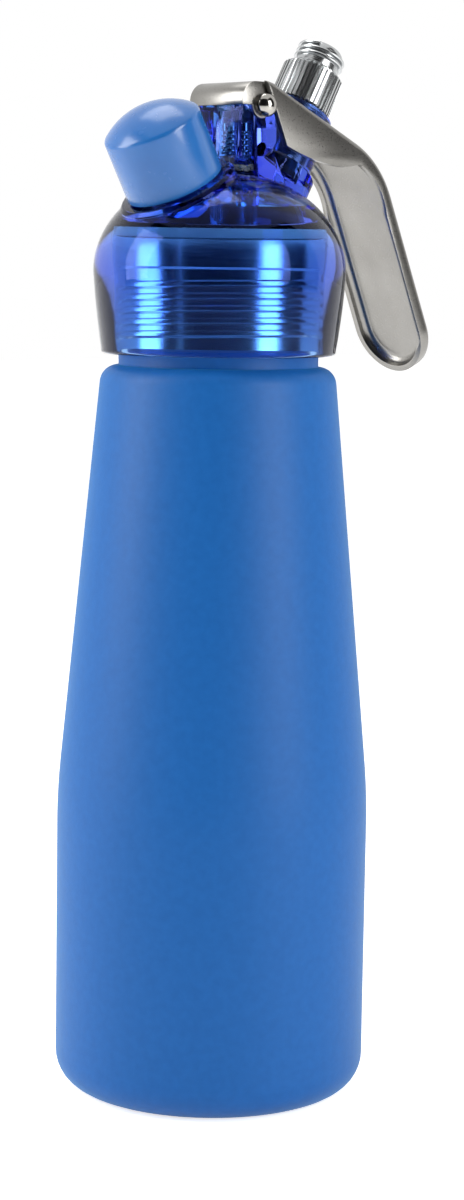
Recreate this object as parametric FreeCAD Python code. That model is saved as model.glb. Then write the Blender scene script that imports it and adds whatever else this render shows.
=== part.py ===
import FreeCAD, Part
import math
import os

from FreeCAD import Vector

# Whipped cream dispenser, half a litre. Millimetres, +Z up, the bottle's axis is Z.
# The nozzle leans towards -X, the charger port and the lever's handle towards +X.
# Everything is symmetric about the plane Y = 0.

# Bottle: spun aluminium
bottle_r = 40.0
bottle_foot_r = 8.0
bottle_wall = 2.0
taper_start_z = 78.0
taper_end_z = 183.0
taper_end_r = 30.0
taper_blend_r = 170.0
shoulder_r = 4.6
groove_r = 25.3
neck_edge = 0.8
thread_step = 0.5
groove_top_z = 191.6
neck_r = 26.9
thread_top_z = 211.4
neck_band_r = 26.4
neck_top_z = 218.6
neck_bore_r = 23.4

# Head: one translucent moulding with the screw skirt, dome, tower and two bosses
skirt_z = 190.0
skirt_r = 29.7
dome_r = 31.9
dome_z = 210.6
dome_rise = 25.4
dome_wall = 2.8
skirt_bore_r = 27.2
gasket_t = 2.4
gasket_in_r = 22.2
core_r = 21.5
gasket_gap = 0.1
skirt_edge_r = 1.0
skirt_bow = 0.15
boss_floor_z = 216.0

# The two leaning axes
lean = math.radians(29.35)
nozzle_z0 = 204.85
port_z0 = 205.4

# Nozzle boss, outlet and cap, placed along the nozzle's axis from its foot
collar_r = 15.1
collar_end = 30.8
collar_edge = 0.8
collar_gap = 0.5
outlet_bore_r = 3.5
outlet_plug_r = 6.0
outlet_plug_start = 25.0
outlet_flange_r = 11.1
outlet_flange_end = 33.4
outlet_thread_r = 8.5
outlet_end = 43.0
nozzle_bore_start = 22.0
cap_r = 12.46
cap_wall = 1.3
cap_start = 31.4
cap_side_end = 47.5
cap_crown = 4.9
cap_edge_r = 1.6
cap_inner_edge_r = 1.0
collar_start = 6.0
outlet_edge = 0.8
nozzle_seal_r = 9.0
nozzle_seal_bore_r = 7.0
nozzle_seal_t = 1.0
nozzle_wall = 2.6
nozzle_wall_start = 20.0
nozzle_wall_end = 28.0

# Charger port, placed along the port's axis from its foot
boss_start = 8.0
boss_foot_r = 11.0
boss_foot_end = 37.0
boss_foot_edge = 0.8
boss_flat_y = 9.9
boss_r = 9.4
boss_end = 52.6
port_bore_r = 5.2
port_bore_start = 34.0
gas_hole_r = 1.2
gas_hole_start = 26.5
adapter_start = 38.0
adapter_bore_r = 3.0
adapter_neck_r = 6.6
adapter_relief_r = 5.7
knurl_r = 8.1
knurl_start = 53.3
knurl_end = 63.7
knurl_chamfer = 1.1
knurl_flutes = 52
knurl_depth = 0.42
knurl_flute_share = 0.8
knurl_top_h = 1.0
port_thread_r = 6.5
port_thread_start = 65.6
port_thread_edge = 0.5
port_tip_start = 69.5
port_tip_r = 5.4
port_tip_end = 70.6
port_mouth_r = 5.0
port_end = 71.0
seat_bore_r = 4.5
seat_floor = 60.0
seal_t = 1.6
seat_seal_bore_r = 1.6
adapter_seal_bore_r = 1.8
check_valve_r = 4.6
check_valve_bore_r = 2.4
carrier_start = 42.0
carrier_bore_r = 1.0
piercing_start = 46.0
piercing_tip_start = 63.0
piercing_tip_h = 2.0
piercing_tip_r = 0.25
piercing_hole_r = 0.4
filter_r = 2.2
filter_start = 38.5
filter_end = 40.0

# Tower, hinge and lever
pivot_x = 4.6
pivot_z = 251.9
pin_r = 1.6
run_gap = 0.05
tower_x0 = -1.1
tower_x1 = 10.6
tower_half_y = 8.7
tower_z0 = 239.4
tower_z1 = 250.5
tower_root = 12.0
tower_corner_r = 4.2
tongue_inset = 0.2
tongue_half_y = 8.6
tongue_z1 = 256.3
plinth_x0 = -6.5
plinth_x1 = 15.5
plinth_half_y = 12.5
plinth_z0 = 229.0
plinth_foot_r = 5.0
plinth_ledge = 0.6
plinth_top_r = 2.5
saddle_x0 = -2.1
saddle_x1 = 11.3
saddle_half_y = 9.9
saddle_z0 = 251.9
saddle_z1 = 257.7
saddle_t = 1.1
saddle_round = 4.6
cheek_r = 3.2
ear_in_y = 10.3
ear_t = 1.5
ear_r = 6.0
rivet_grip = 0.3
head_dome_r = 2.95
head_dome_h = 1.9

# Lever outline in the X-Z plane
ear_foot = (0.2, 247.3)
arm_straight_end = (11.0, 242.4)
arm_low_mid = (21.0, 239.1)
arm_low_end = (31.6, 237.5)
web_start_x = 34.6
web_foot_z = 228.0
knee = (45.4, 239.7)
knee_r = 26.0
inner_knee_start = (37.6, 238.3)
inner_knee = (43.9, 233.4)
inner_knee_end = (47.6, 225.3)
handle_lean = math.radians(23.7)
handle_reach = 58.2
flange_depth = 4.1
ear_round = 0.6
tray_over = 4.0
arm_slope = math.radians(24.3)
handle_edge_r = 1.4
handle_trough_r = 2.2

# Valve, on a vertical axis under the hinge pin
valve_x = pivot_x
cam_throw = 4.0
cam_angle = math.radians(50.0)
cam_lobe_r = 1.8
cam_hub_r = 3.3
cam_half_y = 2.8
cam_gap = 0.13
slot_half_y = 3.2
slot_x1 = 9.9
slot_x0 = 1.0
slot_z0 = 246.4
slot_run_in = 4.0
stem_r = 1.6
stem_gap = 0.5
stem_foot = 0.8
button_r = 3.0
button_t = 2.0
spring_chamber_r = 3.9
spring_wire_r = 0.35
spring_mean_r = 2.75
spring_turns = 6
spring_points = 48
gland_z0 = 234.8
gland_z1 = 236.4
oring_shelf_z = 233.0
chamber_r = 4.5
chamber_z0 = 217.6
chamber_z1 = 232.7
valve_tube_r = 6.3
valve_tube_z1 = 236.0
channel_end = 9.0
channel_wall = 2.0
channel_over = 1.4
seat_z0 = 218.3
seat_z1 = 221.2
seat_hole_r = 2.8
guide_z1 = 228.4
guide_legs = 1.4
guide_leg_t = 1.0
guide_flutes = 12
guide_flute_r = 0.7
channel_z = 230.1
channel_r = 2.3
poppet_r = 4.2
poppet_t = 2.4
poppet_gap = 0.05
nut_t = 2.6
nut_r = 3.4

Z = Vector(0, 0, 1)
Y = Vector(0, 1, 0)
origin = Vector(0, 0, 0)
# a cutter runs this far past the face it opens, and wide covers the whole head
past = 1.0
wide = 60.0


def axis_dir(side):
    """Direction of a leaning axis: side -1 is the nozzle, +1 the charger port."""
    return Vector(side * math.sin(lean), 0, math.cos(lean))


def axis_foot(side):
    return Vector(0, 0, nozzle_z0 if side < 0 else port_z0)


def on_axis(side, s):
    return axis_foot(side) + axis_dir(side) * s


def rod(r, z0, z1, x=0.0, y=0.0):
    return Part.makeCylinder(r, z1 - z0, Vector(x, y, z0), Z)


def tube(r_out, r_in, z0, z1, x=0.0):
    return rod(r_out, z0, z1, x).cut(rod(r_in, z0 - past, z1 + past, x))


def leaning_rod(side, r, s0, s1):
    return Part.makeCylinder(r, s1 - s0, on_axis(side, s0), axis_dir(side))


def leaning_tube(side, r_out, r_in, s0, s1):
    return leaning_rod(side, r_out, s0, s1).cut(leaning_rod(side, r_in, s0 - past, s1 + past))


def cross_rod(r, y0, y1, x, z):
    return Part.makeCylinder(r, y1 - y0, Vector(x, y0, z), Y)


def lean_over(shape, side):
    """Move a shape made along Z from the origin onto a leaning axis."""
    shape.rotate(origin, Y, math.degrees(side * lean))
    shape.translate(axis_foot(side))
    return shape


def line(a, b):
    return Part.LineSegment(Vector(a[0], 0, a[1]), Vector(b[0], 0, b[1])).toShape()


def lines(points):
    """Straight edges through the points in turn."""
    return [line(a, b) for a, b in zip(points, points[1:])]


def arc(a, b, c):
    return Part.Arc(*[Vector(p[0], 0, p[1]) for p in (a, b, c)]).toShape()


def arc_about(centre, r, a0, a1):
    """Arc in the X-Z plane about centre, angles in degrees from +X."""
    at = [math.radians(a) for a in (a0, (a0 + a1) / 2, a1)]
    return arc(*[(centre[0] + r * math.cos(a), centre[1] + r * math.sin(a)) for a in at])


def spin(edges):
    """Solid of revolution about Z from edges in the X-Z half plane."""
    return Part.Face(Part.Wire(edges)).revolve(origin, Z, 360)


def slab(edges, y0, y1):
    """Prism along Y from edges in the X-Z plane."""
    face = Part.Face(Part.Wire(edges))
    face.translate(Vector(0, y0, 0))
    return face.extrude(Vector(0, y1 - y0, 0))


def ellipse_arc(a, b, zc, r0, r1):
    """Quarter ellipse about (0, zc), from radius r0 to radius r1, above zc."""
    curve = Part.Ellipse(Vector(0, 0, zc), a, b)
    curve.Axis = Vector(0, -1, 0)
    curve.XAxis = Vector(1, 0, 0)
    t0, t1 = math.acos(r0 / a), math.acos(r1 / a)
    return Part.ArcOfEllipse(curve, min(t0, t1), max(t0, t1)).toShape()


def bottle_section(inset):
    """Outline of the bottle's wall face, moved in by inset, from the axis to the neck's mouth."""
    foot = bottle_foot_r - inset
    side_r = bottle_r - inset
    slope = math.atan2(bottle_r - taper_end_r, taper_end_z - taper_start_z)
    lift = taper_blend_r * math.tan(slope / 2)
    low = (side_r, taper_start_z - lift)
    high = (side_r - lift * math.sin(slope), taper_start_z + lift * math.cos(slope))
    mid = (side_r - taper_blend_r * (1 - math.cos(slope / 2)),
           low[1] + taper_blend_r * math.sin(slope / 2))
    knuckle = shoulder_r - inset
    centre = (taper_end_r - shoulder_r * math.cos(slope), taper_end_z - shoulder_r * math.sin(slope))
    side_top = (centre[0] + knuckle * math.cos(slope), centre[1] + knuckle * math.sin(slope))
    half = (slope + math.pi / 2) / 2
    turn = (centre[0] + knuckle * math.cos(half), centre[1] + knuckle * math.sin(half))
    top = (centre[0], centre[1] + knuckle)
    return [
        line((0, inset), (side_r - foot, inset)),
        arc_about((side_r - foot, inset + foot), foot, -90, 0),
        line((side_r, inset + foot), low),
        arc(low, mid, high),
        line(high, side_top),
        arc(side_top, turn, top),
    ], top


def bottle():
    """Spun bottle: rounded foot, long taper, tight shoulder and a neck for the head's thread."""
    outer, top = bottle_section(0.0)
    neck = [top, (groove_r, top[1]), (groove_r, groove_top_z), (neck_r, groove_top_z + neck_edge),
            (neck_r, thread_top_z), (neck_band_r, thread_top_z + thread_step),
            (neck_band_r, neck_top_z), (0, neck_top_z), (0, 0)]
    inner, inner_top = bottle_section(bottle_wall)
    bore = [inner_top, (neck_bore_r, inner_top[1]), (neck_bore_r, neck_top_z + past),
            (0, neck_top_z + past), (0, bottle_wall)]
    return spin(outer + lines(neck)).cut(spin(inner + lines(bore))).removeSplitter()


def head_gasket():
    return tube(skirt_bore_r - gasket_gap, gasket_in_r, neck_top_z, neck_top_z + gasket_t)


def head_dome():
    """The turned outside of the head: a flared skirt under an elliptical dome."""
    edge_r = skirt_r - skirt_edge_r
    edge_z = skirt_z + skirt_edge_r
    flare = ((skirt_r + dome_r) / 2 + skirt_bow, (skirt_z + dome_z) / 2)
    return spin([
        line((0, skirt_z), (edge_r, skirt_z)),
        arc_about((edge_r, edge_z), skirt_edge_r, -90, 0),
        arc((skirt_r, edge_z), flare, (dome_r, dome_z)),
        ellipse_arc(dome_r, dome_rise, dome_z, dome_r, 0),
        line((0, dome_z + dome_rise), (0, skirt_z)),
    ])


def head_hollow():
    """Skirt bore, gasket seat and the cored space in the dome."""
    seat_z = neck_top_z + gasket_t
    inner_r, inner_rise = dome_r - dome_wall, dome_rise - dome_wall
    core_top = dome_z + inner_rise * math.sqrt(1 - (core_r / inner_r) ** 2)
    path = [(0, skirt_z - past), (skirt_bore_r, skirt_z - past), (skirt_bore_r, seat_z), (core_r, seat_z),
            (core_r, core_top)]
    crown = (0, dome_z + inner_rise)
    return spin(lines(path) + [
        ellipse_arc(inner_r, inner_rise, dome_z, core_r, 0),
        line(crown, path[0]),
    ])


def tower():
    """Block over the dome that carries the hinge, with its tongue inside the saddle."""
    r = tower_corner_r
    root_z = tower_z0 - tower_root
    block = slab(lines([(tower_x1 - r, tower_z0), (tower_x1 - r, root_z), (tower_x0, root_z),
                        (tower_x0, tower_z1), (tower_x1, tower_z1), (tower_x1, tower_z0 + r)])
                 + [arc_about((tower_x1 - r, tower_z0 + r), r, 0, -90)], -tower_half_y, tower_half_y)
    x0 = saddle_x0 + saddle_t + tongue_inset
    x1 = saddle_x1 - saddle_t - tongue_inset
    tongue = Part.makeBox(x1 - x0, 2 * tongue_half_y, tongue_z1 - tower_z1,
                          Vector(x0, -tongue_half_y, tower_z1))
    top = [e for e in tongue.Edges if abs(e.CenterOfMass.z - tongue_z1) < 0.01
           and abs(e.CenterOfMass.y) < 0.01]
    return block.fuse(tongue.makeFillet(saddle_round - saddle_t, top))


def plinth():
    """Sloping foot between the tower and the dome."""
    foot = rounded_rect(plinth_x0, plinth_x1, plinth_half_y, plinth_foot_r, plinth_z0)
    top = rounded_rect(tower_x0 - plinth_ledge, tower_x1 + plinth_ledge, tower_half_y + plinth_ledge,
                       plinth_top_r, tower_z0)
    return Part.makeLoft([foot, top], True, True)


def rounded_rect(x0, x1, half_y, r, z):
    """Closed wire: a rectangle with rounded corners at height z."""
    c = [(x1 - r, half_y - r, 0), (x0 + r, half_y - r, 90), (x0 + r, r - half_y, 180),
         (x1 - r, r - half_y, 270)]
    corners = []
    for x, y, a in c:
        pts = [Vector(x + r * math.cos(math.radians(a + d)), y + r * math.sin(math.radians(a + d)), z)
               for d in (0, 45, 90)]
        corners.append(Part.Arc(*pts).toShape())
    edges = []
    for i, edge in enumerate(corners):
        nxt = corners[(i + 1) % 4]
        edges += [edge, Part.LineSegment(edge.Vertexes[-1].Point, nxt.Vertexes[0].Point).toShape()]
    return Part.Wire(edges)


def nozzle_boss():
    """Round collar that the outlet stands on, leaning towards -X."""
    path = [(0, collar_start), (collar_r, collar_start), (collar_r, collar_end - collar_edge),
            (collar_r - collar_edge, collar_end), (0, collar_end), (0, collar_start)]
    return lean_over(spin(lines(path)), -1)


def port_boss():
    """Stepped round boss that the charger adapter screws into, leaning towards +X.

    Its foot has a flat on each side, which the lever's arms pass as they are squeezed.
    """
    path = [(0, boss_start), (boss_foot_r, boss_start), (boss_foot_r, boss_foot_end - boss_foot_edge),
            (boss_foot_r - boss_foot_edge, boss_foot_end), (boss_r, boss_foot_end), (boss_r, boss_end),
            (0, boss_end), (0, boss_start)]
    flats = Part.makeBox(2 * wide, 2 * boss_flat_y, 2 * wide, Vector(-wide, -boss_flat_y, 0))
    return lean_over(spin(lines(path)).common(flats), 1)


def valve_walls():
    """Walls inside the dome: round the valve's chamber, the cross channel and the nozzle's bore."""
    space = head_hollow().common(rod(wide, neck_top_z + gasket_t, dome_z + dome_rise + wide))
    chamber = rod(valve_tube_r, chamber_z0, valve_tube_z1, valve_x)
    channel = channel_rod(channel_r + channel_wall, channel_end + channel_over).common(space)
    nozzle = leaning_rod(-1, outlet_bore_r + nozzle_wall, nozzle_wall_start, nozzle_wall_end)
    return chamber.fuse([channel, nozzle.common(space)])


def channel_rod(r, reach):
    """Level rod from the valve's axis to x = -reach, at the cross channel's height."""
    return Part.makeCylinder(r, valve_x + reach, Vector(valve_x, 0, channel_z), Vector(-1, 0, 0))


def head_cutters():
    """What is bored or cut out of the head, one shape after another."""
    return [
        leaning_rod(-1, collar_r + collar_gap, collar_end, collar_end + wide),
        rod(chamber_r, chamber_z0 - past, chamber_z1, valve_x),
        rod(stem_r + stem_gap, chamber_z1 - past, oring_shelf_z + past, valve_x),
        rod(spring_chamber_r, oring_shelf_z, slot_z0 + slot_run_in, valve_x),
        Part.makeBox(slot_x1 - slot_x0, 2 * slot_half_y, tongue_z1 + past - slot_z0,
                     Vector(slot_x0, -slot_half_y, slot_z0)),
        channel_rod(channel_r, channel_end),
        leaning_rod(-1, outlet_bore_r, nozzle_bore_start, collar_end + past),
        leaning_rod(-1, outlet_plug_r, outlet_plug_start, collar_end + past),
        leaning_rod(1, port_bore_r, port_bore_start, boss_end + past),
        leaning_rod(1, gas_hole_r, gas_hole_start, port_bore_start + past),
        cross_rod(pin_r + run_gap, -tower_half_y - past, tower_half_y + past, pivot_x, pivot_z),
    ]


def head_shell():
    """Skirt, dome, tower and bosses as one moulding, cored from below and bored for the valve."""
    below = rod(wide, skirt_z - wide, boss_floor_z)
    outside = head_dome().fuse([nozzle_boss().cut(below), port_boss().cut(below), plinth(), tower()])
    head = outside.cut(head_hollow()).fuse(valve_walls())
    for cutter in head_cutters():
        head = head.cut(cutter)
    return head.removeSplitter()


def saddle_outline(inset):
    """Inverted U of the saddle over the tower's tongue."""
    x0, x1 = saddle_x0 + inset, saddle_x1 - inset
    z1, r = saddle_z1 - inset, saddle_round - inset
    z0 = saddle_z0 - (past if inset else 0)
    return [
        line((x0, z0), (x0, z1 - r)),
        arc_about((x0 + r, z1 - r), r, 180, 90),
        line((x0 + r, z1), (x1 - r, z1)),
        arc_about((x1 - r, z1 - r), r, 90, 0),
        line((x1, z1 - r), (x1, z0)),
        line((x1, z0), (x0, z0)),
    ]


def hinge_saddle():
    """Pressed steel cover over the tower's tongue; its cheeks carry the hinge pin."""
    body = slab(saddle_outline(0.0), -saddle_half_y, saddle_half_y)
    inside = slab(saddle_outline(saddle_t), -saddle_half_y + saddle_t, saddle_half_y - saddle_t)
    body = body.cut(inside)
    for y0 in (-saddle_half_y, saddle_half_y - saddle_t):
        body = body.fuse(cross_rod(cheek_r, y0, y0 + saddle_t, pivot_x, pivot_z))
    return body.cut(cross_rod(pin_r + run_gap, -wide, wide, pivot_x, pivot_z)).removeSplitter()


def handle_point(along, depth):
    """Point on the lever's side outline: along the handle from the knee, depth in from its outside."""
    d = (math.sin(handle_lean), -math.cos(handle_lean))
    n = (-math.cos(handle_lean), -math.sin(handle_lean))
    return (knee[0] + d[0] * along + n[0] * depth, knee[1] + d[1] * along + n[1] * depth)


def knee_arc(r):
    """Tangent arc of the outside between the arm and the handle, as three points."""
    turn = math.pi / 2 - handle_lean - arm_slope
    cut = r * math.tan(turn / 2)
    a = (knee[0] - cut * math.cos(arm_slope), knee[1] + cut * math.sin(arm_slope))
    c = handle_point(cut, 0)
    centre = (a[0] - r * math.sin(arm_slope), a[1] - r * math.cos(arm_slope))
    mid = arm_slope + turn / 2
    b = (centre[0] + r * math.sin(mid), centre[1] + r * math.cos(mid))
    return a, b, c


def lever_outline():
    """Side outline of the whole lever, from the round ears to the handle's tip."""
    a, b, c = knee_arc(knee_r)
    tip_out = handle_point(handle_reach, 0)
    tip_in = handle_point(handle_reach, flange_depth)
    top = (pivot_x + ear_r * math.sin(arm_slope), pivot_z + ear_r * math.cos(arm_slope))
    left = (pivot_x - ear_r, pivot_z)
    up = (pivot_x - ear_r * math.sin(ear_round), pivot_z + ear_r * math.cos(ear_round))
    return [
        arc(left, up, top),
        line(top, a),
        arc(a, b, c),
    ] + lines([c, tip_out, tip_in, inner_knee_end]) + [
        arc(inner_knee_end, inner_knee, inner_knee_start),
        line(inner_knee_start, arm_low_end),
        arc(arm_low_end, arm_low_mid, arm_straight_end),
    ] + lines([arm_straight_end, ear_foot, left])


def moved_in(p, angle):
    """Point one sheet's thickness in from a face whose normal is at the given angle from +Z."""
    return (p[0] - ear_t * math.sin(angle), p[1] - ear_t * math.cos(angle))


def tray_outline():
    """Side outline of the space inside the tray, open towards the bottle."""
    end_angle = math.pi / 2 - handle_lean
    angles = (arm_slope, (arm_slope + end_angle) / 2, end_angle)
    a, b, c = [moved_in(p, angle) for p, angle in zip(knee_arc(knee_r), angles)]
    start = (web_start_x, a[1] + (a[0] - web_start_x) * math.tan(arm_slope))
    tip_out = handle_point(handle_reach, ear_t)
    tip_in = handle_point(handle_reach, flange_depth + tray_over)
    return [line(start, a), arc(a, b, c)] + lines([c, tip_out, tip_in, (web_start_x, web_foot_z), start])


def handle_plan(half, tip):
    """Prism square to the handle: straight sides and a half-round end."""
    d = Vector(math.sin(handle_lean), 0, -math.cos(handle_lean))
    n = Vector(math.cos(handle_lean), 0, math.sin(handle_lean))
    base = Vector(knee[0], 0, knee[1]) - n * wide / 2
    centre = base + d * (tip - half)
    back = base - d * 2 * wide
    pts = [centre - Y * half, centre + d * half, centre + Y * half]
    edges = [
        Part.Arc(*pts).toShape(),
        Part.LineSegment(pts[2], back + Y * half).toShape(),
        Part.LineSegment(back + Y * half, back - Y * half).toShape(),
        Part.LineSegment(back - Y * half, pts[0]).toShape(),
    ]
    return Part.Face(Part.Wire(edges)).extrude(n * 2 * wide)


def lever():
    """Pressed steel lever: two ears on the pin, two arms past the port, and a tray-shaped handle."""
    half = ear_in_y + ear_t
    blank = slab(lever_outline(), -half, half).common(handle_plan(half, handle_reach))
    outer = [e for e in blank.Edges if rim_edge(e, 0.0)]
    blank = blank.makeFillet(handle_edge_r, outer)
    inside = slab(tray_outline(), -ear_in_y, ear_in_y)
    inside = inside.common(handle_plan(ear_in_y, handle_reach - ear_t))
    floor = [e for e in inside.Edges if rim_edge(e, ear_t)]
    inside = inside.makeFillet(handle_trough_r, floor)
    gap = Part.makeBox(web_start_x + wide, 2 * ear_in_y, 2 * wide, Vector(-wide, -ear_in_y, pivot_z - wide))
    shape = blank.cut(inside).cut(gap)
    return shape.cut(cross_rod(pin_r, -wide, wide, pivot_x, pivot_z)).removeSplitter()


def outside_depth(p):
    """How far a point lies in from the handle's outside face."""
    return (knee[0] - p.x) * math.cos(handle_lean) + (knee[1] - p.z) * math.sin(handle_lean)


def rim_edge(edge, depth):
    """True for an edge of the handle's flat, at the given depth, that isn't straight across it."""
    ends = [v.Point for v in edge.Vertexes]
    across = abs(ends[0].x - ends[-1].x) + abs(ends[0].z - ends[-1].z) < 0.01
    bowed = abs(edge.CenterOfMass.x - ends[0].x) > 1
    return all(abs(outside_depth(p) - depth) < 0.05 for p in ends) and (bowed or not across)


def pivot_pin():
    """Hinge pin with two domed rivet heads against the ears."""
    half = ear_in_y + ear_t
    pin = cross_rod(pin_r, -half - rivet_grip, half + rivet_grip, pivot_x, pivot_z)
    ball_r = (head_dome_r ** 2 + head_dome_h ** 2) / (2 * head_dome_h)
    for side in (-1, 1):
        ball = Part.makeSphere(ball_r, Vector(pivot_x, side * (half + head_dome_h - ball_r), pivot_z))
        ends = sorted((side * half, side * (half + head_dome_h + past)))
        keep = cross_rod(head_dome_r + past, *ends, pivot_x, pivot_z)
        pin = pin.fuse(ball.common(keep))
    return pin.removeSplitter()


def valve_cam():
    """Cam on the pin: its lobe presses the valve's button as the lever turns."""
    lobe = (pivot_x + cam_throw * math.sin(cam_angle), pivot_z - cam_throw * math.cos(cam_angle))
    hub = cross_rod(cam_hub_r, -cam_half_y, cam_half_y, pivot_x, pivot_z)
    nose = cross_rod(cam_lobe_r, -cam_half_y, cam_half_y, lobe[0], lobe[1])
    ang = math.atan2(lobe[1] - pivot_z, lobe[0] - pivot_x)
    tilt = math.acos((cam_hub_r - cam_lobe_r) / cam_throw)
    pts = []
    for sign in (1, -1):
        u = (math.cos(ang + sign * tilt), math.sin(ang + sign * tilt))
        pts.append((pivot_x + cam_hub_r * u[0], pivot_z + cam_hub_r * u[1]))
        pts.append((lobe[0] + cam_lobe_r * u[0], lobe[1] + cam_lobe_r * u[1]))
    bridge = slab(lines([pts[0], pts[1], pts[3], pts[2], pts[0]]), -cam_half_y, cam_half_y)
    cam = hub.fuse([nose, bridge])
    return cam.cut(cross_rod(pin_r, -wide, wide, pivot_x, pivot_z)).removeSplitter()


def button_top():
    return pivot_z - cam_throw * math.cos(cam_angle) - cam_lobe_r - cam_gap


def valve_stem():
    """Valve rod with the flat button that the cam presses and a threaded foot."""
    top = button_top()
    foot = seat_z0 - poppet_gap - poppet_t - nut_t - stem_foot
    button = rod(button_r, top - button_t, top, valve_x)
    return button.fuse(rod(stem_r, foot, top - button_t, valve_x)).removeSplitter()


def poppet_seal():
    top = seat_z0 - poppet_gap
    return tube(poppet_r, stem_r, top - poppet_t, top, valve_x)


def poppet_nut():
    top = seat_z0 - poppet_gap - poppet_t
    corners = [math.radians(60 * i) for i in range(7)]
    hexagon = Part.makePolygon([Vector(valve_x + nut_r * math.cos(a), nut_r * math.sin(a), top - nut_t)
                                for a in corners])
    return Part.Face(hexagon).extrude(Z * nut_t).cut(rod(stem_r, top - nut_t - past, top + past, valve_x))


def valve_seat():
    return tube(chamber_r, seat_hole_r, seat_z0, seat_z1, valve_x)


def valve_guide():
    """Fluted sleeve that guides the stem; the cream rises along its flutes."""
    foot = seat_z1 + guide_legs
    body = tube(chamber_r, stem_r + run_gap, foot, guide_z1, valve_x)
    body = body.fuse(tube(chamber_r, chamber_r - guide_leg_t, seat_z1, foot, valve_x))
    for i in range(guide_flutes):
        a = 2 * math.pi * i / guide_flutes
        body = body.cut(rod(guide_flute_r, seat_z1 - past, guide_z1 + past,
                            valve_x + chamber_r * math.cos(a), chamber_r * math.sin(a)))
    return body.removeSplitter()


def stem_o_ring():
    tube_r = (gland_z0 - oring_shelf_z) / 2
    ring = Part.makeTorus(spring_chamber_r - tube_r, tube_r)
    ring.translate(Vector(valve_x, 0, oring_shelf_z + tube_r))
    return ring.cut(rod(stem_r + run_gap, oring_shelf_z - past, gland_z0 + past, valve_x))


def valve_gland():
    return tube(spring_chamber_r, stem_r + run_gap, gland_z0, gland_z1, valve_x)


def tangent_arc(a, corner, b):
    """Arc from a to b that is tangent there to the lines from the corner."""
    middle = (a + b) * 0.5
    half = (b - a).Length / 2
    leg = (corner - a).Length
    rise = half * (leg - half) / math.sqrt(leg ** 2 - half ** 2)
    return Part.Arc(a, middle + (corner - middle).normalize() * rise, b).toShape()


def biarc(p0, t0, p1, t1):
    """Two arcs, tangent to each other, from p0 along t0 to p1 along t1."""
    v = p1 - p0
    along = v.dot(t0 + t1)
    k = 2 * (1 - t0.dot(t1))
    d = (math.sqrt(along ** 2 + k * v.dot(v)) - along) / k
    q0, q1 = p0 + t0 * d, p1 - t1 * d
    meet = (q0 + q1) * 0.5
    return [tangent_arc(p0, q0, meet), tangent_arc(meet, q1, p1)]


def coil_point(z0, pitch, turn):
    a = 2 * math.pi * turn
    return Vector(valve_x + spring_mean_r * math.cos(a), spring_mean_r * math.sin(a), z0 + pitch * turn)


def coil_direction(pitch, turn):
    a = 2 * math.pi * turn
    round_length = 2 * math.pi * spring_mean_r
    return Vector(-math.sin(a) * round_length, math.cos(a) * round_length, pitch).normalize()


def valve_spring():
    """Return spring between the gland and the button, one unbroken wire."""
    z0 = gland_z1 + spring_wire_r
    z1 = button_top() - button_t - spring_wire_r
    pitch = (z1 - z0) / spring_turns
    arcs = []
    for i in range(4 * spring_turns):
        t0, t1 = i / 4, (i + 1) / 4
        arcs += biarc(coil_point(z0, pitch, t0), coil_direction(pitch, t0),
                      coil_point(z0, pitch, t1), coil_direction(pitch, t1))
    section = Part.Wire(Part.makeCircle(spring_wire_r, coil_point(z0, pitch, 0), coil_direction(pitch, 0)))
    points = [coil_point(z0, pitch, i / spring_points) for i in range(spring_turns * spring_points)]
    gaps = [(p - q).Length for i, p in enumerate(points) for q in points[i + spring_points // 2:]]
    print("spring's least gap to itself", round(min(gaps) - 2 * spring_wire_r, 2), "mm")
    return Part.Wire(arcs).makePipeShell([section], True, False)


def nozzle_outlet():
    """Outlet spout: a plug in the collar, a flange that the cap grips and a threaded stub."""
    path = [(outlet_bore_r, outlet_plug_start), (outlet_plug_r, outlet_plug_start),
            (outlet_plug_r, collar_end), (outlet_flange_r, collar_end),
            (outlet_flange_r, outlet_flange_end), (outlet_thread_r, outlet_flange_end),
            (outlet_thread_r, outlet_end - outlet_edge), (outlet_thread_r - outlet_edge, outlet_end),
            (outlet_bore_r, outlet_end), (outlet_bore_r, outlet_plug_start)]
    return lean_over(spin(lines(path)), -1).cut(nozzle_seal())


def nozzle_seal():
    """Flat ring under the outlet's flange, let into it."""
    return leaning_tube(-1, nozzle_seal_r, nozzle_seal_bore_r, collar_end, collar_end + nozzle_seal_t)


def nozzle_cap():
    """Push-on cap with a low crown."""
    return lean_over(cap_form(0.0).cut(cap_form(cap_wall)), -1)


def cap_form(inset):
    """The cap's outside, or the space inside it: the crown is a wide ball met by a small round."""
    r = cap_r - inset
    z0 = cap_start - (past if inset else 0)
    edge_r = cap_inner_edge_r if inset else cap_edge_r
    ball_r = (cap_r ** 2 + cap_crown ** 2) / (2 * cap_crown)
    centre_z = cap_side_end + cap_crown - ball_r
    ball_in = ball_r - inset
    crown = (0, centre_z + ball_in)
    reach = r - edge_r
    zc = centre_z + math.sqrt((ball_in - edge_r) ** 2 - reach ** 2)
    ang = math.atan2(zc - centre_z, reach)
    touch = (reach + edge_r * math.cos(ang), zc + edge_r * math.sin(ang))
    mid = (reach + edge_r * math.cos(ang / 2), zc + edge_r * math.sin(ang / 2))
    high = (ang + math.pi / 2) / 2
    on_ball = (ball_in * math.cos(high), centre_z + ball_in * math.sin(high))
    return spin([
        line((0, z0), (r, z0)),
        line((r, z0), (r, zc)),
        arc((r, zc), mid, touch),
        arc(touch, on_ball, crown),
        line(crown, (0, z0)),
    ])


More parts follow.
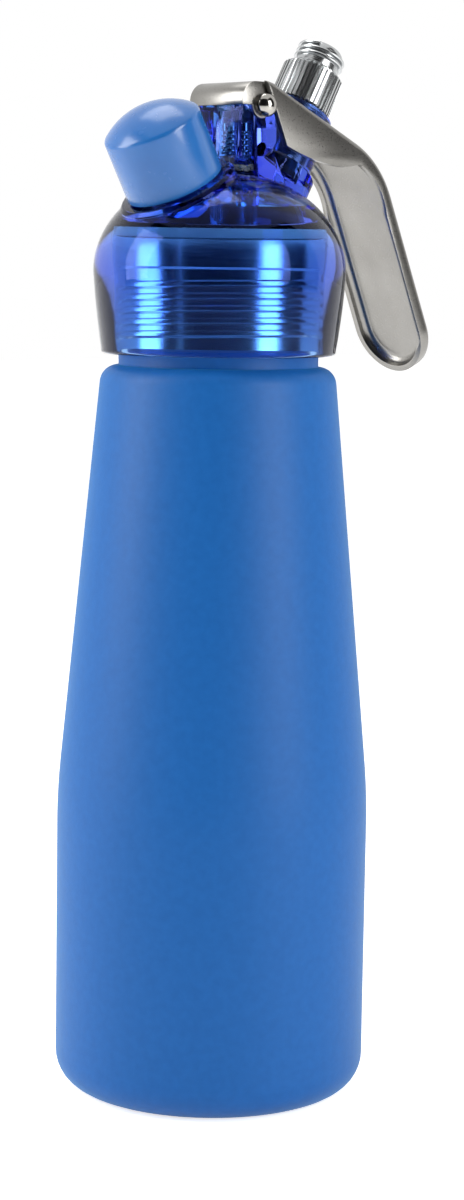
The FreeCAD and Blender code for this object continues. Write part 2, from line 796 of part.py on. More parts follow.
def knurl_flute(i):
    """Cutter for one straight V-shaped flute of the knurled ring."""
    a = 2 * math.pi * i / knurl_flutes
    half = math.pi / knurl_flutes * knurl_flute_share
    deep, wide_r = knurl_r - knurl_depth, knurl_r + knurl_depth
    low = knurl_start - past
    corners = [(deep, a), (wide_r, a - half), (wide_r, a + half), (deep, a)]
    vee = Part.makePolygon([Vector(r * math.cos(b), r * math.sin(b), low) for r, b in corners])
    return Part.Face(vee).extrude(Z * (knurl_end + knurl_top_h + past - low))


def charger_adapter():
    """Turned aluminium adapter: screwed stem, knurled ring and the male thread for the holder."""
    path = [(adapter_bore_r, adapter_start), (port_bore_r, adapter_start), (port_bore_r, boss_end),
            (adapter_neck_r, boss_end), (adapter_neck_r, knurl_start), (knurl_r, knurl_start),
            (knurl_r, knurl_end), (knurl_r - knurl_chamfer, knurl_end + knurl_top_h),
            (adapter_relief_r, knurl_end + knurl_top_h), (adapter_relief_r, port_thread_start),
            (port_thread_r, port_thread_start + port_thread_edge), (port_thread_r, port_tip_start),
            (port_tip_r, port_tip_end), (port_mouth_r, port_end), (seat_bore_r, port_end),
            (seat_bore_r, seat_floor), (adapter_bore_r, seat_floor), (adapter_bore_r, adapter_start)]
    flutes = Part.makeCompound([knurl_flute(i) for i in range(knurl_flutes)])
    return lean_over(spin(lines(path)).cut(flutes), 1)


def adapter_seal():
    return leaning_tube(1, port_bore_r, adapter_seal_bore_r, port_bore_start, port_bore_start + seal_t)


def check_valve():
    """Rubber sleeve over the gas hole; gas lifts it on the way in and presses it shut."""
    return leaning_tube(1, check_valve_r, check_valve_bore_r, port_bore_start + seal_t, adapter_start)


def pin_carrier():
    """Screwed insert in the adapter's bore that holds the piercing pin."""
    return leaning_tube(1, adapter_bore_r, carrier_bore_r, carrier_start, seat_floor)


def piercing_pin():
    """Hollow needle that opens the charger's seal."""
    shaft = rod(carrier_bore_r, piercing_start, piercing_tip_start)
    tip = Part.makeCone(carrier_bore_r, piercing_tip_r, piercing_tip_h, Z * piercing_tip_start)
    hole = rod(piercing_hole_r, piercing_start - past, piercing_tip_start + piercing_tip_h + past)
    return lean_over(shaft.fuse(tip).cut(hole).removeSplitter(), 1)


def pin_filter():
    return leaning_rod(1, filter_r, filter_start, filter_end)


def charger_seat_seal():
    return leaning_tube(1, seat_bore_r, seat_seal_bore_r, seat_floor, seat_floor + seal_t)


parts = {
    "bottle": bottle,
    "head_gasket": head_gasket,
    "head_shell": head_shell,
    "hinge_saddle": hinge_saddle,
    "lever": lever,
    "pivot_pin": pivot_pin,
    "valve_cam": valve_cam,
    "valve_stem": valve_stem,
    "poppet_seal": poppet_seal,
    "poppet_nut": poppet_nut,
    "valve_seat": valve_seat,
    "valve_guide": valve_guide,
    "stem_o_ring": stem_o_ring,
    "valve_gland": valve_gland,
    "valve_spring": valve_spring,
    "nozzle_outlet": nozzle_outlet,
    "nozzle_seal": nozzle_seal,
    "nozzle_cap": nozzle_cap,
    "charger_adapter": charger_adapter,
    "adapter_seal": adapter_seal,
    "check_valve": check_valve,
    "pin_carrier": pin_carrier,
    "piercing_pin": piercing_pin,
    "pin_filter": pin_filter,
    "charger_seat_seal": charger_seat_seal,
}

os.makedirs("parts", exist_ok=True)
for name, make in parts.items():
    shape = make()
    if not shape.isValid():
        print("not valid:", name)
    box = shape.BoundBox
    print(name, "solids", len(shape.Solids), "volume", round(shape.Volume, 1),
          "z", round(box.ZMin, 1), round(box.ZMax, 1))
    shape.exportStep("parts/" + name + ".step")
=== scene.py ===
import math

import bpy
from mathutils import Matrix, Vector


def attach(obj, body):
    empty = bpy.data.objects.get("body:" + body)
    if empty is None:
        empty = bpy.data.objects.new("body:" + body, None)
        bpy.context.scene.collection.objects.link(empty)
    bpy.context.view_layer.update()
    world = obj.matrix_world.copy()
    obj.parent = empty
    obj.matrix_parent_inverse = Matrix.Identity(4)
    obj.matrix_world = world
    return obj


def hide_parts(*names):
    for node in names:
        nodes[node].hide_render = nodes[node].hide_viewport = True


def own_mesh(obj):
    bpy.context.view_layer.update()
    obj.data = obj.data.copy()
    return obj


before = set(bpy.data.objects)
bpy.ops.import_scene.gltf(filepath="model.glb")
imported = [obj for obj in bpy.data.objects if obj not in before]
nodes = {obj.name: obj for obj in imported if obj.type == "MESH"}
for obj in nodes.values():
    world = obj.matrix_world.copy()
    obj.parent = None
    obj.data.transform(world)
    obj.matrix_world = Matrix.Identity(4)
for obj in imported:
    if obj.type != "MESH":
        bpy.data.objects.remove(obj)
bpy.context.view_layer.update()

mm = 0.001

# Whipped cream dispenser: matte blue bottle, clear blue screw-on head, steel squeeze lever.
# Lengths are in millimetres unless a line says otherwise, the nozzle leans to -X and the port to +X.

camera = {
    "azimuth": -42.0, "pitch": 8.142, "roll": 0.837,      # degrees
    "distance": 728.7, "aimHeight": 111.4,
    "lens": 85.03, "sensor": 36.0, "shift": (0.0150, 0.0513),
}
leanAngle = 29.35                      # both the nozzle and the charger port lean by this
footHeight = {"nozzle": 204.85, "port": 205.4}
mergeGap = {"drawn": 0.004, "packed": 0.002}               # points closer than this become one
softening = {"flatAngle": 0.6, "sharpAngle": 38.0, "segments": 2}      # angles in degrees
threadForm = {"sink": 0.25, "crestDrop": 0.1, "crestShare": 0.5}


# Small tools

def hexToLinear(code):
    parts = [int(code[i:i + 2], 16) / 255 for i in (1, 3, 5)]
    return tuple(p / 12.92 if p <= 0.04045 else ((p + 0.055) / 1.055) ** 2.4 for p in parts) + (1.0,)


def deselectAll():
    if bpy.context.object and bpy.context.object.mode != "OBJECT":
        bpy.ops.object.mode_set(mode="OBJECT")
    bpy.ops.object.select_all(action="DESELECT")


def makeActive(piece):
    deselectAll()
    piece.select_set(True)
    bpy.context.view_layer.objects.active = piece


def arcPoints(centre, radius, start, stop, count):
    # angles in degrees from +X towards +Z
    angles = [math.radians(start + (stop - start) * i / count) for i in range(count + 1)]
    return [(centre[0] + radius * math.cos(a), centre[1] + radius * math.sin(a)) for a in angles]


def drawnOutline(name, outline, foot=0.0):
    # one vertex drawn along the outline by extrusion, foot mm up, left in edit mode
    deselectAll()
    bpy.ops.mesh.primitive_plane_add(size=mm)
    piece = bpy.context.object
    piece.name = piece.data.name = name
    bpy.ops.object.mode_set(mode="EDIT")
    bpy.ops.mesh.select_all(action="SELECT")
    bpy.ops.mesh.merge(type="CENTER")
    bpy.ops.transform.translate(value=(outline[0][0] * mm, 0, (outline[0][1] + foot) * mm))
    for a, b in zip(outline, outline[1:]):
        step = ((b[0] - a[0]) * mm, 0, (b[1] - a[1]) * mm)
        bpy.ops.mesh.extrude_region_move(TRANSFORM_OT_translate={"value": step})
    bpy.ops.mesh.select_all(action="SELECT")
    return piece


def turned(name, outline, sides):
    # an outline spun round Z
    piece = drawnOutline(name, outline)
    bpy.ops.mesh.spin(steps=sides, angle=2 * math.pi, center=(0, 0, 0), axis=(0, 0, 1))
    bpy.ops.mesh.select_all(action="SELECT")
    bpy.ops.mesh.remove_doubles(threshold=mergeGap["drawn"] * mm)
    bpy.ops.mesh.normals_make_consistent(inside=False)
    bpy.ops.object.mode_set(mode="OBJECT")
    return piece


def threadRidge(name, shape):
    # a rounded ridge that climbs round Z, its root sunk a little into the core that carries it
    half, root, crest = shape["width"] / 2, shape["root"], shape["crest"]
    sunk, edge = root - threadForm["sink"], crest - threadForm["crestDrop"]
    narrow = half * threadForm["crestShare"]
    outline = [(sunk, -half), (root, -half), (edge, -narrow), (crest, 0), (edge, narrow),
               (root, half), (sunk, half), (sunk, -half)]
    piece = drawnOutline(name, outline, shape["foot"])
    bpy.ops.mesh.remove_doubles(threshold=mergeGap["drawn"] * mm)
    bpy.ops.object.mode_set(mode="OBJECT")
    climb = piece.modifiers.new("climb", "SCREW")
    climb.axis = "Z"
    climb.angle = 2 * math.pi * shape["turns"]
    climb.screw_offset = shape["pitch"] * shape["turns"] * mm
    climb.steps = climb.render_steps = int(shape["sides"] * shape["turns"])
    bpy.ops.object.modifier_apply(modifier="climb")
    bpy.ops.object.mode_set(mode="EDIT")
    bpy.ops.mesh.select_all(action="SELECT")
    bpy.ops.mesh.fill_holes(sides=len(outline))
    bpy.ops.mesh.select_all(action="SELECT")
    bpy.ops.mesh.normals_make_consistent(inside=False)
    bpy.ops.object.mode_set(mode="OBJECT")
    return piece


def leanOver(piece, which):
    makeActive(piece)
    side = -1 if which == "nozzle" else 1
    piece.rotation_euler = (0, side * math.radians(leanAngle), 0)
    piece.location = (0, 0, footHeight[which] * mm)
    bpy.ops.object.transform_apply(location=True, rotation=True, scale=True)
    return piece


def mergedCopy(node, name, flatAngle=0.0):
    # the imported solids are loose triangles, so a copy is joined up before it is worked on,
    # and triangles that lie within flatAngle degrees of each other become one face
    deselectAll()
    piece = bpy.data.objects.new(name, nodes[node].data.copy())
    bpy.context.scene.collection.objects.link(piece)
    makeActive(piece)
    bpy.ops.mesh.customdata_custom_splitnormals_clear()
    bpy.ops.object.mode_set(mode="EDIT")
    bpy.ops.mesh.select_all(action="SELECT")
    bpy.ops.mesh.remove_doubles(threshold=mergeGap["packed"] * mm)
    if flatAngle:
        bpy.ops.mesh.dissolve_limited(angle_limit=math.radians(flatAngle))
    bpy.ops.object.mode_set(mode="OBJECT")
    return piece


def dressed(node, name, edge):
    # a merged copy whose hard edges get a small round, its width in mm
    piece = mergedCopy(node, name, softening["flatAngle"])
    makeActive(piece)
    rounds = piece.modifiers.new("rounds", "BEVEL")
    rounds.width = edge * mm
    rounds.segments = softening["segments"]
    rounds.limit_method = "ANGLE"
    rounds.angle_limit = math.radians(softening["sharpAngle"])
    bpy.ops.object.modifier_apply(modifier="rounds")
    return piece


def finishPiece(piece, material, body, slotName, *replaced, smoothAngle=32):
    makeActive(piece)
    bpy.ops.object.shade_smooth_by_angle(angle=math.radians(smoothAngle))
    if material:
        piece.data.materials.clear()
        piece.data.materials.append(material)
    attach(piece, body)
    if replaced:
        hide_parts(*replaced)
    return piece


# Materials

def addNode(owner, kind, settings=None, links=None):
    node = owner.node_tree.nodes.new(kind)
    for key, value in (settings or {}).items():
        if isinstance(key, int) or key in node.inputs:
            node.inputs[key].default_value = value
        else:
            setattr(node, key, value)
    for key, source in (links or {}).items():
        owner.node_tree.links.new(source, node.inputs[key])
    return node


def newMaterial(name, settings):
    material = bpy.data.materials.new(name)
    material.use_nodes = True
    shader = material.node_tree.nodes["Principled BSDF"]
    for socket, value in settings.items():
        shader.inputs[socket].default_value = value
    return material, shader


def grain(material, shader, size, depth, roughness, colours, stretch=(1, 1, 1), blotch=9.0):
    # size and depth of the surface's fine grain in mm, the roughness it swings between,
    # and two close shades that drift into each other over blotches of a few mm
    place = addNode(material, "ShaderNodeTexCoord")
    laid = addNode(material, "ShaderNodeMapping", {"Scale": stretch}, {"Vector": place.outputs["Object"]})
    fine = addNode(material, "ShaderNodeTexNoise", {"Scale": 1 / (size * mm), "Detail": 2.0},
                   {"Vector": laid.outputs["Vector"]})
    bump = addNode(material, "ShaderNodeBump", {"Strength": 0.6, "Distance": depth * mm},
                   {"Height": fine.outputs["Fac"]})
    swing = addNode(material, "ShaderNodeMapRange", {"To Min": roughness[0], "To Max": roughness[1]},
                    {"Value": fine.outputs["Fac"]})
    links = material.node_tree.links
    links.new(bump.outputs["Normal"], shader.inputs["Normal"])
    links.new(swing.outputs["Result"], shader.inputs["Roughness"])
    broad = addNode(material, "ShaderNodeTexNoise", {"Scale": 1 / (blotch * mm), "Detail": 4.0},
                    {"Vector": place.outputs["Object"]})
    shade = addNode(material, "ShaderNodeValToRGB", {}, {"Fac": broad.outputs["Fac"]})
    for stop, position, colour in zip(shade.color_ramp.elements, (0.3, 0.7), colours):
        stop.position = position
        stop.color = hexToLinear(colour)
    links.new(shade.outputs["Color"], shader.inputs["Base Color"])
    return material


def softTouchCoating():
    # polyurethane soft-touch paint over aluminium: matte, suede-like, pale where it turns away
    look = {"IOR": 1.38, "Sheen Weight": 0.17, "Sheen Roughness": 0.35,
            "Sheen Tint": hexToLinear("#55e4ff")}
    material, shader = newMaterial("softTouchCoating", look)
    return grain(material, shader, 0.45, 0.02, (0.44, 0.58), ("#0a5ca7", "#0f61ae"), blotch=2.2)


def bareAluminium():
    # turned and degreased aluminium of the neck: bright, with fine level tool marks
    material, shader = newMaterial("bareAluminium", {"Metallic": 1.0})
    return grain(material, shader, 0.5, 0.01, (0.14, 0.26), ("#dfe2e5", "#cfd3d7"), (0.06, 0.06, 1.0))


def clearPolycarbonate():
    # injection-moulded polycarbonate, dyed royal blue and polished: the dye darkens with depth.
    # The IOR is matched to the look of the photo's dome and lies below polycarbonate's 1.585
    look = {"Base Color": hexToLinear("#a8dcfa"), "Roughness": 0.05, "IOR": 1.38,
            "Transmission Weight": 1.0, "Specular Tint": hexToLinear("#6f86f2")}
    material, shader = newMaterial("clearPolycarbonate", look)
    depth = addNode(material, "ShaderNodeVolumeAbsorption",
                    {"Color": hexToLinear("#8f8af0"), "Density": 140.0})
    output = material.node_tree.nodes["Material Output"]
    material.node_tree.links.new(depth.outputs["Volume"], output.inputs["Volume"])
    place = addNode(material, "ShaderNodeTexCoord")
    flow = addNode(material, "ShaderNodeTexNoise", {"Scale": 1 / (7 * mm), "Detail": 1.0},
                   {"Vector": place.outputs["Object"]})
    bump = addNode(material, "ShaderNodeBump", {"Strength": 0.25, "Distance": 0.06 * mm},
                   {"Height": flow.outputs["Fac"]})
    material.node_tree.links.new(bump.outputs["Normal"], shader.inputs["Normal"])
    return material


def capPlastic():
    # polished opaque polypropylene: sky blue with a clear gloss
    look = {"IOR": 1.49, "Coat Weight": 0.25, "Coat Roughness": 0.12}
    material, shader = newMaterial("capPlastic", look)
    return grain(material, shader, 2.4, 0.008, (0.22, 0.30), ("#2268b2", "#286fb9"))


def outletPlastic():
    # moulded acetal of the spout under the cap: deep blue, silky
    material, shader = newMaterial("outletPlastic", {"IOR": 1.48})
    return grain(material, shader, 0.8, 0.01, (0.28, 0.38), ("#234f9e", "#2a5aae"))


def satinSteel():
    # glass-blasted stainless steel: soft warm grey with a slight grain
    material, shader = newMaterial("satinSteel", {"Metallic": 1.0})
    return grain(material, shader, 0.35, 0.006, (0.24, 0.34), ("#878581", "#918f8b"), blotch=12.0)


def polishedSteel():
    # tumbled stainless steel of rivets, stem and guide: nearly a mirror
    material, shader = newMaterial("polishedSteel", {"Metallic": 1.0})
    return grain(material, shader, 0.8, 0.004, (0.10, 0.18), ("#a3a09a", "#aeaba6"))


def turnedAluminium():
    # lathe-turned aluminium of the charger adapter: bright, with rings along its leaning axis
    material, shader = newMaterial("turnedAluminium", {"Metallic": 1.0})
    place = addNode(material, "ShaderNodeTexCoord")
    along = addNode(material, "ShaderNodeMapping", {"Rotation": (0, math.radians(-leanAngle), 0)},
                    {"Vector": place.outputs["Object"]})
    # rings 0.5 mm apart: a wave texture of scale 1 repeats every 0.314
    rings = addNode(material, "ShaderNodeTexWave",
                    {"bands_direction": "Z", "Scale": 0.314 / (0.5 * mm), "Distortion": 0.4},
                    {"Vector": along.outputs["Vector"]})
    bump = addNode(material, "ShaderNodeBump", {"Strength": 0.4, "Distance": 0.012 * mm},
                   {"Height": rings.outputs["Fac"]})
    material.node_tree.links.new(bump.outputs["Normal"], shader.inputs["Normal"])
    swing = addNode(material, "ShaderNodeMapRange", {"To Min": 0.17, "To Max": 0.27},
                    {"Value": rings.outputs["Fac"]})
    material.node_tree.links.new(swing.outputs["Result"], shader.inputs["Roughness"])
    shader.inputs["Base Color"].default_value = hexToLinear("#babcbd")
    return material


def turnedBrass():
    # free-cutting brass of the valve's inner fittings
    material, shader = newMaterial("turnedBrass", {"Metallic": 1.0})
    return grain(material, shader, 0.6, 0.006, (0.2, 0.32), ("#c9ab63", "#b99a55"))


def nitrileRubber():
    # black moulded seals with a dusty bloom
    material, shader = newMaterial("nitrileRubber", {"IOR": 1.52})
    return grain(material, shader, 0.4, 0.02, (0.5, 0.68), ("#18181a", "#222224"))


def siliconeRubber():
    # translucent white moulded silicone of the head's gasket
    look = {"IOR": 1.41, "Transmission Weight": 0.35}
    material, shader = newMaterial("siliconeRubber", look)
    return grain(material, shader, 0.7, 0.01, (0.35, 0.5), ("#e2e6ea", "#eef1f3"))


def springWire():
    # drawn stainless spring wire
    material, shader = newMaterial("springWire", {"Metallic": 1.0})
    return grain(material, shader, 0.3, 0.004, (0.16, 0.28), ("#b4b4b2", "#c2c2c0"))


coating, bare, clearBlue = softTouchCoating(), bareAluminium(), clearPolycarbonate()
capBlue, outletBlue, satin = capPlastic(), outletPlastic(), satinSteel()
polished, turnedBright, brass = polishedSteel(), turnedAluminium(), turnedBrass()
rubber, silicone, wire = nitrileRubber(), siliconeRubber(), springWire()
print("materials made")


# Bottle: spun aluminium, coated outside up to the groove, bare on the neck and inside

bottleShape = {
    "radius": 40.0, "footRound": 9.4, "wall": 2.0,
    "taperStart": 78.0, "taperEnd": 183.0, "taperEndRadius": 30.0, "taperBlend": 170.0,
    "shoulderRound": 4.6, "grooveRadius": 25.3, "grooveTop": 191.6,
    "threadRoot": 26.0, "threadTop": 211.4, "bandRadius": 26.4, "neckTop": 218.6, "neckBore": 23.4,
    "neckEdge": 0.5, "sides": 160,
}
neckThread = {
    "root": 26.0, "crest": 26.85, "width": 2.0, "pitch": 3.0, "foot": 194.2, "turns": 5.2,
    "sides": 72,
}


def bottleSide(inset):
    b = bottleShape
    foot, side = b["footRound"] - inset, b["radius"] - inset
    slope = math.atan2(b["radius"] - b["taperEndRadius"], b["taperEnd"] - b["taperStart"])
    lift = b["taperBlend"] * math.tan(slope / 2)
    blendCentre = (side - b["taperBlend"], b["taperStart"] - lift)
    knuckle = (b["taperEndRadius"] - b["shoulderRound"] * math.cos(slope),
               b["taperEnd"] - b["shoulderRound"] * math.sin(slope))
    tilt = math.degrees(slope)
    return ([(0, inset)] + arcPoints((side - foot, inset + foot), foot, -90, 0, 10)
            + arcPoints(blendCentre, b["taperBlend"], 0, tilt, 8)
            + arcPoints(knuckle, b["shoulderRound"] - inset, tilt, 90, 10))


def makeBottle():
    b = bottleShape
    outer, inner = bottleSide(0.0), bottleSide(b["wall"])
    edge = b["neckEdge"]
    neck = [(b["grooveRadius"], outer[-1][1]), (b["grooveRadius"], b["grooveTop"]),
            (b["threadRoot"], b["grooveTop"] + edge), (b["threadRoot"], b["threadTop"]),
            (b["bandRadius"], b["threadTop"] + edge), (b["bandRadius"], b["neckTop"] - edge),
            (b["bandRadius"] - edge, b["neckTop"]), (b["neckBore"] + edge, b["neckTop"]),
            (b["neckBore"], b["neckTop"] - edge), (b["neckBore"], inner[-1][1])]
    bottle = turned("bottleShell", outer + neck + inner[::-1], b["sides"])
    bottle.data.materials.append(coating)
    bottle.data.materials.append(bare)
    makeActive(bottle)
    bpy.ops.object.mode_set(mode="EDIT")
    bpy.ops.mesh.select_all(action="DESELECT")
    bpy.ops.object.mode_set(mode="OBJECT")
    # bare metal: every face that looks inwards, the inner floor and shoulder, and the neck
    neckStart = b["grooveTop"] - 0.1
    for face in bottle.data.polygons:
        centre = face.center / mm
        outward = face.normal.x * centre.x + face.normal.y * centre.y
        floor = face.normal.z > 0.5 and centre.z < b["footRound"]
        shoulder = face.normal.z < -0.5 and centre.z > b["taperStart"]
        face.select = outward < -0.01 or floor or shoulder or centre.z > neckStart
    bottle.active_material_index = 1
    bpy.ops.object.mode_set(mode="EDIT")
    bpy.ops.object.material_slot_assign()
    bpy.ops.object.mode_set(mode="OBJECT")
    finishPiece(bottle, None, "bottle", "coated_aluminium", "bottle")
    ridge = threadRidge("neckThread", neckThread)
    finishPiece(ridge, bare, "bottle", "coated_aluminium")


makeBottle()
print("bottle made")


# Head: the clear blue moulding, softened along its edges

headShape = {"edge": 0.3}


def makeHead():
    head = dressed("head_shell", "headShell", headShape["edge"])
    finishPiece(head, clearBlue, "head", "head_polymer", "head_shell")


makeHead()
print("head made")


# Lever, saddle and hinge pin

leverShape = {"leverEdge": 0.28, "saddleEdge": 0.22, "rivetEdge": 0.2}


def makeLever():
    lever = dressed("lever", "squeezeLever", leverShape["leverEdge"])
    finishPiece(lever, satin, "lever", "satin_steel", "lever")
    saddle = dressed("hinge_saddle", "hingeSaddle", leverShape["saddleEdge"])
    finishPiece(saddle, satin, "head", "satin_steel", "hinge_saddle")
    rivet = dressed("pivot_pin", "pivotRivet", leverShape["rivetEdge"])
    finishPiece(rivet, polished, "lever", "polished_steel", "pivot_pin")


makeLever()
print("lever made")


# Cap, outlet and charger adapter

capShape = {"edge": 0.25}
outletShape = {
    "bore": 3.5, "plug": 6.0, "plugStart": 25.0, "seat": 30.8, "flange": 11.1, "flangeEnd": 33.4,
    "root": 7.9, "end": 43.0, "round": 0.6, "sides": 96,
}
outletThread = {
    "root": 7.9, "crest": 8.45, "width": 1.5, "pitch": 2.2, "foot": 35.4, "turns": 3.0,
    "sides": 48,
}
adapterShape = {
    "bore": 3.0, "stem": 5.2, "start": 38.0, "bossEnd": 52.6, "neck": 6.6,
    "knurl": 8.1, "knurlStart": 53.3, "knurlEnd": 63.7, "knurlFoot": 0.5, "chamfer": 1.1,
    "chamferRise": 1.0, "flutes": 40, "sidesPerFlute": 4, "fluteDepth": 0.6, "flutedRim": 0.6,
    "relief": 5.7, "reliefEnd": 65.9, "reliefRise": 0.2, "root": 5.7,
    "tip": 5.4, "tipStart": 69.6, "tipRise": 0.9,
    "mouth": 5.0, "end": 71.0, "seatBore": 4.5, "seatFloor": 60.0,
}
portThread = {
    "root": 5.7, "crest": 6.5, "width": 1.15, "pitch": 1.45, "foot": 66.4, "turns": 2.6,
    "sides": 48,
}


def makeCap():
    cap = dressed("nozzle_cap", "capShell", capShape["edge"])
    finishPiece(cap, capBlue, "cap", "cap_plastic", "nozzle_cap")


def makeOutlet():
    o = outletShape
    outline = [(o["bore"], o["plugStart"]), (o["plug"], o["plugStart"]), (o["plug"], o["seat"]),
               (o["flange"] - o["round"], o["seat"]), (o["flange"], o["seat"] + o["round"]),
               (o["flange"], o["flangeEnd"] - o["round"]), (o["flange"] - o["round"], o["flangeEnd"]),
               (o["root"], o["flangeEnd"]), (o["root"], o["end"] - o["round"]),
               (o["root"] - o["round"], o["end"]), (o["bore"], o["end"]), (o["bore"], o["plugStart"])]
    outlet = leanOver(turned("outletSpout", outline, o["sides"]), "nozzle")
    finishPiece(outlet, outletBlue, "head", "outlet_plastic", "nozzle_outlet")
    ridge = leanOver(threadRidge("outletThread", outletThread), "nozzle")
    finishPiece(ridge, outletBlue, "head", "outlet_plastic")


def makeAdapter():
    a = adapterShape
    top = a["knurlEnd"] + a["chamferRise"]
    outline = [(a["bore"], a["start"]), (a["stem"], a["start"]), (a["stem"], a["bossEnd"]),
               (a["neck"], a["bossEnd"]), (a["neck"], a["knurlStart"]),
               (a["knurl"] - a["knurlFoot"], a["knurlStart"]),
               (a["knurl"], a["knurlStart"] + a["knurlFoot"]), (a["knurl"], a["knurlEnd"]),
               (a["knurl"] - a["chamfer"], top), (a["relief"], top), (a["relief"], a["reliefEnd"]),
               (a["root"], a["reliefEnd"] + a["reliefRise"]), (a["root"], a["tipStart"]),
               (a["tip"], a["tipStart"] + a["tipRise"]), (a["mouth"], a["end"]),
               (a["seatBore"], a["end"]), (a["seatBore"], a["seatFloor"]),
               (a["bore"], a["seatFloor"]), (a["bore"], a["start"])]
    sides = a["sidesPerFlute"] * a["flutes"]
    adapter = turned("chargerAdapter", outline, sides)
    makeActive(adapter)
    bpy.ops.object.mode_set(mode="EDIT")
    bpy.ops.mesh.select_mode(type="VERT")
    bpy.ops.mesh.select_all(action="DESELECT")
    bpy.ops.object.mode_set(mode="OBJECT")
    # one column of points in sidesPerFlute is drawn inwards, within flutedRim mm of the ring's face
    stepAngle = 2 * math.pi / sides
    for vertex in adapter.data.vertices:
        across = math.hypot(vertex.co.x, vertex.co.y) / mm
        turn = round(math.atan2(vertex.co.y, vertex.co.x) / stepAngle)
        vertex.select = across > a["knurl"] - a["flutedRim"] and turn % a["sidesPerFlute"] == 0
    bpy.ops.object.mode_set(mode="EDIT")
    pulled = 1 - a["fluteDepth"] / a["knurl"]
    bpy.ops.transform.resize(value=(pulled, pulled, 1), center_override=(0, 0, 0))
    bpy.ops.object.mode_set(mode="OBJECT")
    leanOver(adapter, "port")
    finishPiece(adapter, turnedBright, "head", "turned_aluminium", "charger_adapter", smoothAngle=24)
    ridge = leanOver(threadRidge("portThread", portThread), "port")
    finishPiece(ridge, turnedBright, "head", "turned_aluminium")


makeCap()
makeOutlet()
makeAdapter()
print("cap, outlet and adapter made")


# Return spring: a merged copy of the imported spring with its own mesh (the real one shortens as the
# valve opens)


def makeSpring():
    spring = mergedCopy("valve_spring", "returnSpring")
    finishPiece(spring, wire, "head", "spring_steel", "valve_spring")
    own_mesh(spring)


makeSpring()
print("spring made")


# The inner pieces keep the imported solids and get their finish

innerFinish = {
    "head_gasket": silicone, "valve_cam": satin, "valve_stem": polished, "poppet_seal": rubber,
    "poppet_nut": satin, "valve_seat": satin, "valve_guide": polished, "stem_o_ring": rubber,
    "valve_gland": brass, "nozzle_seal": rubber, "adapter_seal": rubber,
    "check_valve": rubber, "pin_carrier": brass, "piercing_pin": polished, "pin_filter": brass,
    "charger_seat_seal": rubber,
}
for nodeName, material in innerFinish.items():
    nodes[nodeName].data.materials.clear()
    nodes[nodeName].data.materials.append(material)
print("inner pieces finished")


# Studio: white sweep, two side softboxes, a top light and three black cards

studio = {
    "backdropGlow": 1.0, "worldFill": 0.42,
    "floorColour": "#f4f4f4", "floorGlow": 0.72, "floorSize": 8.0, "lightAim": 0.15,
    "cardColour": "#2b2b2e",
    "cards": [
        # name, to the right, towards the camera, width, height in metres, darkens the fill too
        ("frontCard", 0.0, 1.35, 2.3, 2.2, True),
        ("leftCard", -1.45, 0.55, 1.5, 2.2, False),
        ("rightCard", 1.45, 0.45, 1.6, 2.2, False),
    ],
    "lights": [
        # name, to the right, towards the camera, height, width, length in metres, watts
        ("leftSoftbox", -0.66, 0.12, 0.42, 0.34, 0.60, 4.6),
        ("rightSoftbox", 0.66, 0.46, 0.40, 0.32, 0.60, 5.0),
        ("topSoftbox", -0.15, -0.25, 1.10, 0.50, 0.50, 2.6),
    ],
}


def studioPoint(right, near, height):
    turn = math.radians(-camera["azimuth"])
    x = right * math.cos(turn) - near * math.sin(turn)
    y = -right * math.sin(turn) - near * math.cos(turn)
    return Vector((x, y, height))


def addCamera():
    c = camera
    turn, pitch, roll = math.radians(-c["azimuth"]), math.radians(c["pitch"]), math.radians(c["roll"])
    forward = Vector((math.sin(turn) * math.cos(pitch), math.cos(turn) * math.cos(pitch),
                      -math.sin(pitch)))
    level = Vector((math.cos(turn), -math.sin(turn), 0))
    upright = level.cross(forward)
    right = math.cos(roll) * level + math.sin(roll) * upright
    up = math.cos(roll) * upright - math.sin(roll) * level
    stand = Vector((0, 0, c["aimHeight"] * mm)) - forward * c["distance"] * mm
    facing = Matrix((right, up, -forward)).transposed()
    bpy.ops.object.camera_add(location=stand, rotation=facing.to_euler())
    made = bpy.context.object
    made.name = "photoCamera"
    made.data.lens = c["lens"]
    made.data.sensor_width = c["sensor"]
    made.data.shift_x, made.data.shift_y = c["shift"]
    bpy.context.scene.camera = made


def addLights():
    for name, right, near, height, width, length, watts in studio["lights"]:
        place = studioPoint(right, near, height)
        aim = Vector((0, 0, studio["lightAim"])) - place
        bpy.ops.object.light_add(type="AREA", location=place,
                                 rotation=aim.to_track_quat("-Z", "Y").to_euler())
        made = bpy.context.object
        made.name = name
        made.data.shape = "RECTANGLE"
        made.data.size, made.data.size_y = width, length
        made.data.energy = watts


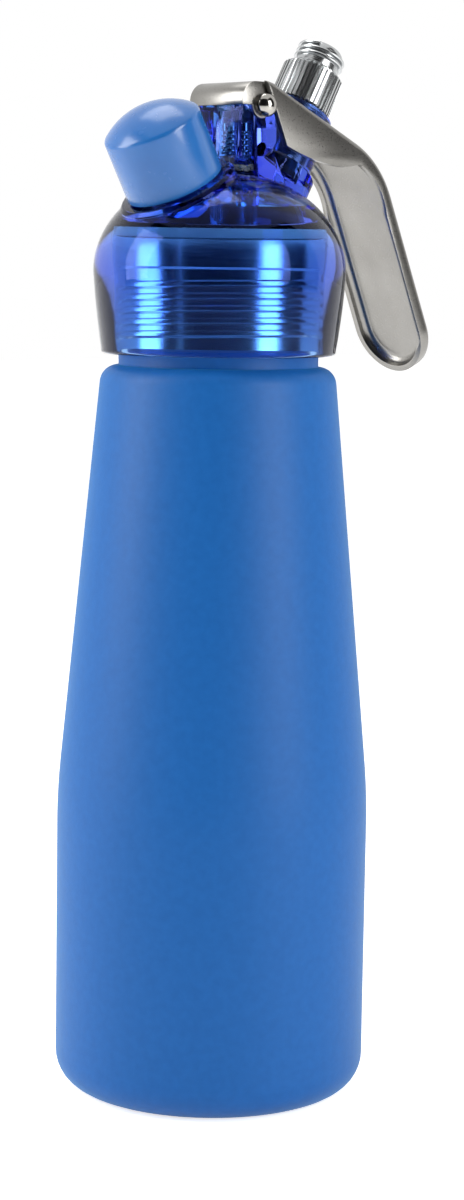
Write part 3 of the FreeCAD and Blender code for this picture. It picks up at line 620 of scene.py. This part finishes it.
def seenDirectly(owner):
    # 1 for what the camera sees straight, in gloss or through the clear plastic, otherwise 0
    ray = addNode(owner, "ShaderNodeLightPath")
    seen = addNode(owner, "ShaderNodeMath", {"operation": "MAXIMUM"},
                   {0: ray.outputs["Is Camera Ray"], 1: ray.outputs["Is Glossy Ray"]})
    seen = addNode(owner, "ShaderNodeMath", {"operation": "MAXIMUM"},
                   {0: seen.outputs["Value"], 1: ray.outputs["Is Transmission Ray"]})
    return seen.outputs["Value"]


def addWorld():
    world = bpy.data.worlds.new("whiteRoom")
    bpy.context.scene.world = world
    world.use_nodes = True
    level = addNode(world, "ShaderNodeMapRange",
                    {"To Min": studio["worldFill"], "To Max": studio["backdropGlow"]},
                    {"Value": seenDirectly(world)})
    background = world.node_tree.nodes["Background"]
    background.inputs["Color"].default_value = (1, 1, 1, 1)
    world.node_tree.links.new(level.outputs["Result"], background.inputs["Strength"])


def addFloor():
    deselectAll()
    bpy.ops.mesh.primitive_plane_add(size=studio["floorSize"])
    floor = bpy.context.object
    floor.name = "studioFloor"
    material, shader = newMaterial("paperSweep", {"Base Color": hexToLinear(studio["floorColour"]),
                                                  "Roughness": 0.9, "Specular IOR Level": 0.1,
                                                  "Emission Color": (1, 1, 1, 1)})
    glow = addNode(material, "ShaderNodeMath", {"operation": "MULTIPLY", 1: studio["floorGlow"]},
                   {0: seenDirectly(material)})
    material.node_tree.links.new(glow.outputs["Value"], shader.inputs["Emission Strength"])
    floor.data.materials.append(material)


def addCards():
    cloth = newMaterial("blackCloth", {"Base Color": hexToLinear(studio["cardColour"]),
                                       "Roughness": 1.0, "Specular IOR Level": 0.0})[0]
    for name, right, near, width, height, dimsFill in studio["cards"]:
        place = studioPoint(right, near, height / 2)
        turn = Vector((-place.x, -place.y, 0)).to_track_quat("Z", "Y").to_euler()
        deselectAll()
        bpy.ops.mesh.primitive_plane_add(size=1, location=place, rotation=turn)
        card = bpy.context.object
        card.name = name
        card.scale = (width, height, 1)
        card.data.materials.append(cloth)
        card.visible_camera = False
        card.visible_diffuse = dimsFill
        card.visible_shadow = False


addCamera()
addLights()
addCards()
addWorld()
addFloor()
bpy.context.scene.view_settings.view_transform = "Standard"
print("studio made")
